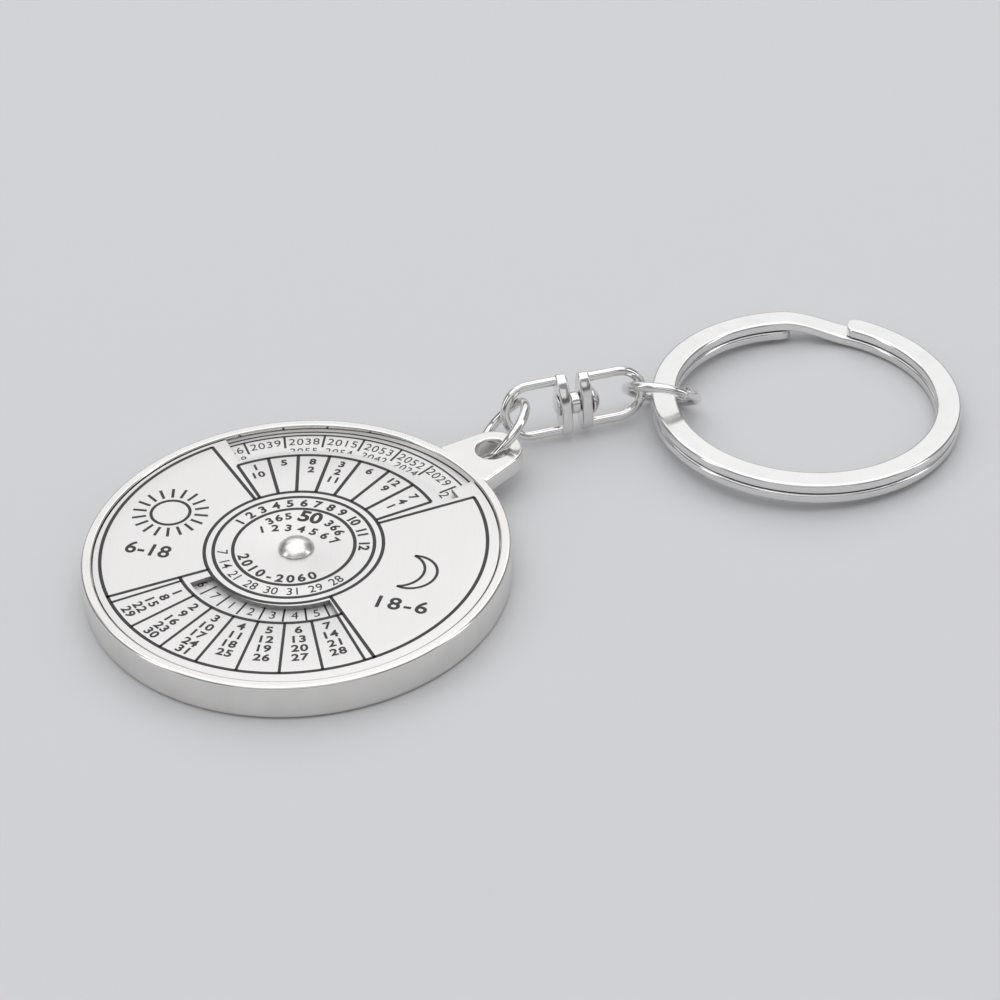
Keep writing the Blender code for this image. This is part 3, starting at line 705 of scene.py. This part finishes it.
def solid_print(name, bm, body, top, off_axis):
    """Turn the flat print to the photographed bearing, give it its thickness and set it down."""
    moved(bm, Matrix.Rotation(radians(PHOTO_TURN), 4, "Z") @ shift(*off_axis))
    thicken(bm, bm.faces[:], (0, 0, PRINT_THICKNESS))
    moved(bm, shift(0, 0, top + PRINT_LIFT))
    finish_piece(name, bm, body, BLACK_INK)


def print_dates(bm):
    """Seven columns of dates in a bordered sector."""
    edges = (203.4, 216.5, 229.5, 242.3, 254.8, 267.3, 279.7, 292.1)
    style = {"stretch": 1.15, "weight": 0.03, "spacing": 1.1}
    line_arc(bm, DATE_LINE, SECTORS[1], SECTORS[2])
    for angle in edges:
        line_ray(bm, angle, DATE_LINE, OUTER_LINE, FINE_LINE_WIDTH)
    for column in range(7):
        middle = (edges[column] + edges[column + 1]) / 2
        for row, radius in enumerate((12.1, 13.4, 14.65, 15.9, 17.05)):
            date = 1 + column + 7 * row
            if date <= 31:
                ring_label(bm, str(date), radius, middle, 1.0, False, **style)


def print_months(bm):
    """The months as numbers, in seven cells under the years."""
    edges = (114.1, 101.6, 89.7, 77.2, 64.4, 51.2, 37.9, 24.7)
    style = {"stretch": 1.1, "weight": 0.035, "spacing": 1.1}
    line_arc(bm, MONTH_LINE, edges[-1], edges[0])
    for angle in edges:
        line_ray(bm, angle, HUB_LINE, MONTH_LINE)
    cells = ("1 10", "5", "8 2", "3 2 11", "6", "12 9", "7 4 1")
    for cell, months in enumerate(cells):
        middle = (edges[cell] + edges[cell + 1]) / 2
        for radius, month in zip((13.1, 11.85, 10.6), months.split()):
            ring_label(bm, month, radius, middle, 0.95, **style)


def print_sectors(bm):
    """The outer line, and the day and night sectors with a sun and a crescent."""
    line_arc(bm, OUTER_LINE, SECTORS[0], SECTORS[3])
    for angle in SECTORS:
        line_ray(bm, angle, HUB_LINE, OUTER_LINE + 0.1)
    sun = bmesh.new()
    line_arc(sun, SUN_RADIUS, width=SUN_LINE_WIDTH)
    for ray in range(RAYS):
        line_ray(sun, 8.5 + 360 / RAYS * ray, RAY_INNER, RAY_OUTER, RAY_WIDTH)
    join(bm, moved(sun, shift(-11.8, 5.9)))
    crescent(bm)
    add_label(bm, "6-18", -13.55, 0.5, 1.8, -17, spacing=1.05)
    add_label(bm, "18-6", 10.1, -9.15, 1.75, -17, stretch=1.1, spacing=1.2)


def crescent(bm):
    """The outline of a thin moon, as two arcs that meet at its tips."""
    tip_a, tip_b = Vector((11.25, -2.15, 0)), Vector((9.57, -6.45, 0))
    for bulge in (Vector((13.24, -5.0, 0)), Vector((12.14, -4.3, 0))):
        centre, radius = circle_through(tip_a, bulge, tip_b)
        start = atan2(tip_b.y - centre.y, tip_b.x - centre.x)
        end = atan2(tip_a.y - centre.y, tip_a.x - centre.x)
        part = bmesh.new()
        line_arc(part, radius, degrees(start), degrees(end), FINE_LINE_WIDTH)
        join(bm, moved(part, shift(centre.x, centre.y)))


def circle_through(a, b, c):
    """Centre and radius of the circle through three points of a plane."""
    d = 2 * (a.x * (b.y - c.y) + b.x * (c.y - a.y) + c.x * (a.y - b.y))
    sa, sb, sc = a.length_squared, b.length_squared, c.length_squared
    x = (sa * (b.y - c.y) + sb * (c.y - a.y) + sc * (a.y - b.y)) / d
    y = (sa * (c.x - b.x) + sb * (a.x - c.x) + sc * (b.x - a.x)) / d
    centre = Vector((x, y, 0))
    return centre, (a - centre).length


def print_centre(bm):
    """The rings round the rivet, with number bands."""
    for radius in (5.68, 7.5, 8.33):
        line_arc(bm, radius)
    ring_text(bm, "1 2 3 4 5 6 7 8 9 10 11 12", 6.58, 142, -6, 1.1, **BOLD)
    ring_text(
        bm, "7 14 21 28 30 31 29 28", 6.6, 184, 310, 1.05, False, stretch=0.95, weight=0.005
    )
    ring_text(bm, "2010-2060", 4.75, 195, 292, 1.15, False, **BOLD)
    ring_text(bm, "365", 4.65, 121, 98, 1.05, **BOLD)
    ring_label(bm, "50", 4.6, 71, 1.75, **BOLD)
    ring_text(bm, "366", 4.6, 45, 23, 1.05, **BOLD)
    flat_arc = bmesh.new()
    ring_text(flat_arc, "1234567", 7.3, 102, 43, 1.05, **BOLD)
    join(bm, moved(flat_arc, shift(-1.55, -4.4)))


def print_face():
    """All the print of the turning disc."""
    bm = bmesh.new()
    print_dates(bm)
    print_months(bm)
    print_sectors(bm)
    print_centre(bm)
    solid_print("dial_print", bm, "dial", FACE_TOP, FACE_SHIFT)


# Both rows of years, cell by cell: first those that the photograph shows, clockwise from the
# notch's first edge, then those that the dial covers there.
SHOWN_YEARS = (
    ("2056", "2028"), ("2039", ""), ("2038", "2055"), ("2015", "2054"), ("2053", "2042"),
    ("2052", "2024"), ("2029", ""), ("", ""),
)
COVERED_YEARS = (
    ("2011", "2044"), ("2010", "2049"), ("2020", "2048"), ("2014", "2059"), ("2013", "2047"),
    ("2012", "2046"), ("2023", "2051"), ("2016", "2050"), ("2021", "2060"), ("2026", ""),
    ("2025", ""), ("2019", "2058"), ("2018", "2057"), ("2034", ""), ("2022", "2033"),
    ("2027", "2032"), ("2037", "2043"), ("2031", "2036"), ("2030", "2041"), ("2035", "2040"),
)


def print_shown_cells(bm):
    """The eight cells that the photograph shows, which draw in a little towards the last."""
    for cell, years in enumerate(SHOWN_YEARS):
        edge = YEAR_EDGE - YEAR_PITCH * cell
        drift = max(0, cell - 3)
        inner, outer = YEAR_TICK - 0.15 * drift, YEAR_LINE - 0.06 * drift ** 2
        line_ray(bm, edge - 0.3 * drift, inner, outer, YEAR_TICK_WIDTH)
        for row, (radius, height) in enumerate(YEAR_ROWS):
            if years[row]:
                at = edge + YEAR_PITCH / 2 - 0.6 * drift * row
                out = radius + 0.12 * drift * row
                ring_label(bm, years[row], out, at, height, spacing=1.1, **THIN)


def print_covered_cells(bm):
    """The years and weekday numbers that the turning dial uncovers, set true about the axis."""
    cells = bmesh.new()
    for cell, years in enumerate(COVERED_YEARS):
        edge = YEAR_EDGE - YEAR_PITCH * (cell + len(SHOWN_YEARS))
        lift = 0.13 + 0.022 * cell
        line_arc(cells, YEAR_LINE + lift, edge, edge + YEAR_PITCH, YEAR_LINE_WIDTH)
        line_ray(cells, edge, YEAR_TICK + lift, YEAR_LINE + lift, YEAR_TICK_WIDTH)
        for (radius, height), year in zip(YEAR_ROWS, years):
            if year:
                middle = edge + YEAR_PITCH / 2
                ring_label(cells, year, radius + lift, middle, height, spacing=1.1, **THIN)
        side, radius = DAY_EDGES[-1] + DAY_PITCH * cell, min(9.5, 9.1 + 0.14 * cell)
        line_ray(cells, side, SLOT_INNER - 0.2, SLOT_OUTER + 0.3, DAY_TICK_WIDTH)
        day = str((cell + 6) % 7 + 1)
        ring_label(cells, day, radius, side + 6.5, DAY_HEIGHT, False, **THIN)
    join(bm, moved(cells, shift(-YEAR_SHIFT[0], -YEAR_SHIFT[1])))


def print_years():
    """The years and the weekday numbers on the still disc, seen through the cut-outs."""
    bm = bmesh.new()
    print_covered_cells(bm)
    line_arc(bm, YEAR_LINE, 16, 121, YEAR_LINE_WIDTH)
    # One digit is all that shows of the year beside the notch's step.
    ring_label(bm, "2", 15.75, 28.1, 1.05, **THIN)
    print_shown_cells(bm)
    for day, start, end in zip("67123456", DAY_EDGES, DAY_EDGES[1:]):
        line_ray(bm, start, 8.7, 10.9, DAY_TICK_WIDTH)
        ring_label(bm, day, 9.6, (start + end) / 2, DAY_HEIGHT, False, **THIN)
    solid_print("year_print", bm, "case", YEAR_TOP, YEAR_SHIFT)


def dress_nodes():
    """Give the carried-over washer its finish."""
    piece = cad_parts["friction_washer"]
    piece.data.materials.clear()
    piece.data.materials.append(WIRE_NICKEL)


def build_stage():
    """A round pale floor just under the object."""
    bm = bmesh.new()
    bmesh.ops.create_circle(bm, cap_ends=True, segments=96, radius=600 * MM)
    mesh = bpy.data.meshes.new("pale_floor")
    bm.to_mesh(mesh)
    bm.free()
    floor = add_object("pale_floor", mesh)
    floor.location.z = -0.03 * MM
    made, _, shader = new_material("pale_floor")
    feed(shader, {"Base Color": (0.67, 0.675, 0.69, 1), "Roughness": 0.6})
    mesh.materials.append(made)


def soft_box(name, bearing, height, distance, width, tall, radiance):
    """A rectangular lamp that looks at the object, from a bearing off the photograph's far side."""
    lamp = bpy.data.lights.new(name, "AREA")
    lamp.shape = "RECTANGLE"
    lamp.size = width
    lamp.size_y = tall
    lamp.energy = radiance * pi * width * tall
    a = radians(90 + PHOTO_TURN + bearing)
    e = radians(height)
    aim = Vector((20, 0, 0)) * MM
    away = Vector((cos(a) * cos(e), sin(a) * cos(e), sin(e))) * distance
    holder = add_object(name, lamp)
    holder.location = aim + away
    holder.rotation_euler = (-away).to_track_quat("-Z", "Y").to_euler()


def build_light():
    """Five soft boxes: overhead, far, near and both sides."""
    soft_box("overhead_box", 20, 83, 0.9, 1.5, 1.4, 1.04)
    soft_box("far_panel", 0, 33, 0.8, 1.0, 0.38, 0.76)
    soft_box("near_panel", 180, 33, 0.8, 0.9, 0.3, 0.5)
    soft_box("left_strip", 105, 26, 0.8, 0.15, 0.5, 2.2)
    soft_box("right_strip", -95, 26, 0.8, 0.15, 0.5, 2.2)


def build_room():
    """The world: pale below and at the horizon, with a dark band above it and grey overhead."""
    world = bpy.data.worlds.new("studio_room")
    world.use_nodes = True
    tree = world.node_tree
    place = add_node(tree, "ShaderNodeTexCoord").outputs["Generated"]
    height = add_node(tree, "ShaderNodeSeparateXYZ", {0: place}).outputs["Z"]
    ramp = add_node(tree, "ShaderNodeValToRGB", {"Fac": height})
    stops = ramp.color_ramp.elements
    stops[0].color = (0.62, 0.63, 0.65, 1)
    stops[1].color = (0.32, 0.32, 0.33, 1)
    for at, tone in ((0.14, 0.60), (0.2, 0.14), (0.3, 0.14), (0.42, 0.32)):
        stops.new(at).color = (tone, tone, tone * 1.03, 1)
    feed(tree.nodes["Background"], {"Color": ramp.outputs["Color"]})
    bpy.context.scene.world = world


def build_camera():
    """The photograph's view."""
    camera = bpy.data.cameras.new("photo_camera")
    camera.sensor_width = 36
    camera.lens = PHOTO_FOCAL * camera.sensor_width / PHOTO_WIDTH
    camera.clip_start = 0.01
    holder = add_object("photo_camera", camera)
    place = Matrix.Rotation(radians(PHOTO_TURN), 4, "Z") @ shift(*PHOTO_PLACE)
    tilt = Matrix.Rotation(radians(PHOTO_TILT), 4, "X")
    holder.matrix_world = place @ tilt @ Matrix.Rotation(radians(PHOTO_ROLL), 4, "Z")
    bpy.context.scene.camera = holder


bpy.context.scene.view_settings.view_transform = "Standard"
build_camera()
build_stage()
build_light()
build_room()
build_case()
build_lug()
build_rivets()
wire_ring("lug_wire_ring", FIRST_RING, "lug_ring", "lug_jump_ring", 240, 0.0)
wire_ring("split_wire_ring", SECOND_RING, "ring_link", "split_jump_ring", 140, 0.12)
stirrup("case_side_stirrup", FIRST_STIRRUP, "swivel_first", "lug_stirrup")
stirrup("key_side_stirrup", SECOND_STIRRUP, "swivel_second", "ring_stirrup")
build_split_ring()
build_face_plate()
dress_nodes()
print_face()
build_year_disc()
print_years()
